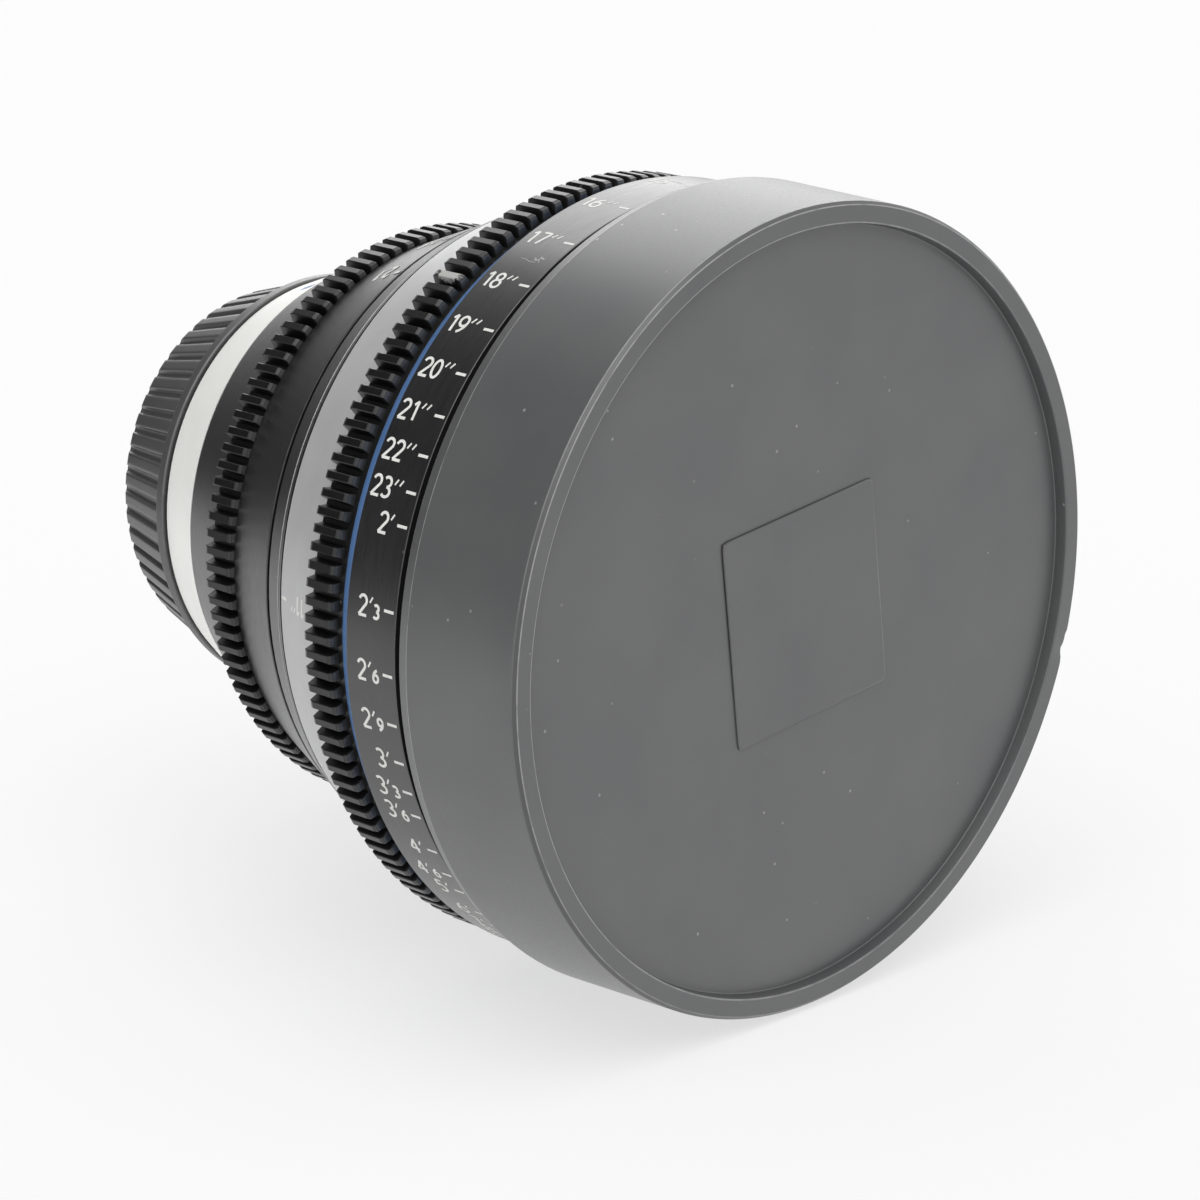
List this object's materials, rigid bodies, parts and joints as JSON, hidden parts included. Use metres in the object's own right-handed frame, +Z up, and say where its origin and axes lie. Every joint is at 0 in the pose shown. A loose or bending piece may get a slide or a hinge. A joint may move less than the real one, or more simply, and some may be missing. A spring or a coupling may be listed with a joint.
{
  "type": "cinema prime lens",
  "caption": "Tapered cinema prime lens lying on its side, with geared focus and iris rings, engraved scales, a slip-on front cap and a ribbed bayonet rear cap.",
  "frame": {"origin": "centre of the rear mounting flange, on the optical axis", "axes": "+Y along the optical axis from the front towards the camera, +Z up, +X to the right for someone facing the front of the lens from -Y"},
  "size_m": [0.118, 0.118, 0.118],
  "materials": {
    "cap_plastic": "fine grained moulded plastic",
    "rear_cap_plastic": "moulded plastic",
    "black_anodised": "satin black anodised",
    "gear_black": "hard black anodised",
    "grey_anodised": "satin grey anodised",
    "blue_paint": "enamel line",
    "mount_silver": "satin chrome",
    "steel": "turned",
    "brass": "turned",
    "inner_black": "matte black anodised",
    "blade_black": "matte black coated steel",
    "glass": "polished and coated"
  },
  "bodies": {
    "barrel": {"front_barrel": "black_anodised", "front_baffle": "inner_black", "main_barrel": "inner_black", "index_ring": "black_anodised", "index_screws": "steel", "mount_barrel": "black_anodised", "mount_shim": "steel", "mount_ring": "mount_silver", "mount_screws": "steel", "bayonet": "mount_silver", "iris_housing": "inner_black", "rear_cell": "inner_black", "rear_cell_ring": "inner_black", "element_6": "glass", "element_7": "glass", "element_8": "glass"},
    "focus_ring": {"focus_sleeve": "brass", "focus_scale_ring": "black_anodised", "focus_line": "blue_paint", "focus_gear": "gear_black", "focus_rear_scale": "grey_anodised"},
    "front_group": {"carriage": "inner_black", "guide_keys": "brass", "follower_pin": "steel", "front_cell": "inner_black", "front_cell_ring": "inner_black", "element_1": "glass", "element_2": "glass", "element_3": "glass", "element_4": "glass", "element_5": "glass"},
    "iris_ring": {"iris_scale_ring": "black_anodised", "iris_gear": "gear_black", "iris_pin": "steel", "iris_cam": "inner_black"},
    "front_cap": {"front_cap": "cap_plastic"},
    "rear_cap": {"rear_cap": "rear_cap_plastic"},
    "blade_01": {"blade_01": "blade_black"},
    "blade_02": {"blade_02": "blade_black"},
    "blade_03": {"blade_03": "blade_black"},
    "blade_04": {"blade_04": "blade_black"},
    "blade_05": {"blade_05": "blade_black"},
    "blade_06": {"blade_06": "blade_black"},
    "blade_07": {"blade_07": "blade_black"},
    "blade_08": {"blade_08": "blade_black"},
    "blade_09": {"blade_09": "blade_black"},
    "blade_10": {"blade_10": "blade_black"},
    "blade_11": {"blade_11": "blade_black"},
    "blade_12": {"blade_12": "blade_black"},
    "blade_13": {"blade_13": "blade_black"},
    "blade_14": {"blade_14": "blade_black"}
  },
  "joints": [
    {"name": "focus_turn", "type": "hinge", "parent": "barrel", "child": "focus_ring", "pos_m": [0, -0.0688, 0], "axis": [0, 1, 0], "range_deg": [-70, 172]},
    {"name": "front_group_slide", "type": "slide", "parent": "barrel", "child": "front_group", "axis": [0, 1, 0], "range_m": [-0.0009, 0.0022]},
    {"name": "iris_turn", "type": "hinge", "parent": "barrel", "child": "iris_ring", "pos_m": [0, -0.0322, 0], "axis": [0, 1, 0], "range_deg": [-61, 27]},
    {"name": "front_cap_slide", "type": "slide", "parent": "barrel", "child": "front_cap", "axis": [0, -1, 0], "range_m": [0, 0.03]},
    {"name": "rear_cap_slide", "type": "slide", "parent": "barrel", "child": "rear_cap", "axis": [0, 1, 0], "range_m": [0, 0.025]},
    {"name": "blade_01_turn", "type": "hinge", "parent": "barrel", "child": "blade_01", "pos_m": [0.022, -0.034, 0], "axis": [0, 1, 0], "range_deg": [-25.5, 11.5]},
    {"name": "blade_02_turn", "type": "hinge", "parent": "barrel", "child": "blade_02", "pos_m": [0.01982, -0.034, -0.00954], "axis": [0, 1, 0], "range_deg": [-25.5, 11.5]},
    {"name": "blade_03_turn", "type": "hinge", "parent": "barrel", "child": "blade_03", "pos_m": [0.01372, -0.034, -0.0172], "axis": [0, 1, 0], "range_deg": [-25.5, 11.5]},
    {"name": "blade_04_turn", "type": "hinge", "parent": "barrel", "child": "blade_04", "pos_m": [0.0049, -0.034, -0.02145], "axis": [0, 1, 0], "range_deg": [-25.5, 11.5]},
    {"name": "blade_05_turn", "type": "hinge", "parent": "barrel", "child": "blade_05", "pos_m": [-0.0049, -0.034, -0.02145], "axis": [0, 1, 0], "range_deg": [-25.5, 11.5]},
    {"name": "blade_06_turn", "type": "hinge", "parent": "barrel", "child": "blade_06", "pos_m": [-0.01372, -0.034, -0.0172], "axis": [0, 1, 0], "range_deg": [-25.5, 11.5]},
    {"name": "blade_07_turn", "type": "hinge", "parent": "barrel", "child": "blade_07", "pos_m": [-0.01982, -0.034, -0.00954], "axis": [0, 1, 0], "range_deg": [-25.5, 11.5]},
    {"name": "blade_08_turn", "type": "hinge", "parent": "barrel", "child": "blade_08", "pos_m": [-0.022, -0.034, 0], "axis": [0, 1, 0], "range_deg": [-25.5, 11.5]},
    {"name": "blade_09_turn", "type": "hinge", "parent": "barrel", "child": "blade_09", "pos_m": [-0.01982, -0.034, 0.00954], "axis": [0, 1, 0], "range_deg": [-25.5, 11.5]},
    {"name": "blade_10_turn", "type": "hinge", "parent": "barrel", "child": "blade_10", "pos_m": [-0.01372, -0.034, 0.0172], "axis": [0, 1, 0], "range_deg": [-25.5, 11.5]},
    {"name": "blade_11_turn", "type": "hinge", "parent": "barrel", "child": "blade_11", "pos_m": [-0.0049, -0.034, 0.02145], "axis": [0, 1, 0], "range_deg": [-25.5, 11.5]},
    {"name": "blade_12_turn", "type": "hinge", "parent": "barrel", "child": "blade_12", "pos_m": [0.0049, -0.034, 0.02145], "axis": [0, 1, 0], "range_deg": [-25.5, 11.5]},
    {"name": "blade_13_turn", "type": "hinge", "parent": "barrel", "child": "blade_13", "pos_m": [0.01372, -0.034, 0.0172], "axis": [0, 1, 0], "range_deg": [-25.5, 11.5]},
    {"name": "blade_14_turn", "type": "hinge", "parent": "barrel", "child": "blade_14", "pos_m": [0.01982, -0.034, 0.00954], "axis": [0, 1, 0], "range_deg": [-25.5, 11.5]}
  ],
  "couplings": [
    {"joint": "front_group_slide", "follows": "focus_turn", "m_per_rad": 0.00071028},
    {"joint": "blade_01_turn", "follows": "iris_turn", "ratio": 0.41},
    {"joint": "blade_02_turn", "follows": "iris_turn", "ratio": 0.41},
    {"joint": "blade_03_turn", "follows": "iris_turn", "ratio": 0.41},
    {"joint": "blade_04_turn", "follows": "iris_turn", "ratio": 0.41},
    {"joint": "blade_05_turn", "follows": "iris_turn", "ratio": 0.41},
    {"joint": "blade_06_turn", "follows": "iris_turn", "ratio": 0.41},
    {"joint": "blade_07_turn", "follows": "iris_turn", "ratio": 0.41},
    {"joint": "blade_08_turn", "follows": "iris_turn", "ratio": 0.41},
    {"joint": "blade_09_turn", "follows": "iris_turn", "ratio": 0.41},
    {"joint": "blade_10_turn", "follows": "iris_turn", "ratio": 0.41},
    {"joint": "blade_11_turn", "follows": "iris_turn", "ratio": 0.41},
    {"joint": "blade_12_turn", "follows": "iris_turn", "ratio": 0.41},
    {"joint": "blade_13_turn", "follows": "iris_turn", "ratio": 0.41},
    {"joint": "blade_14_turn", "follows": "iris_turn", "ratio": 0.41}
  ]
}
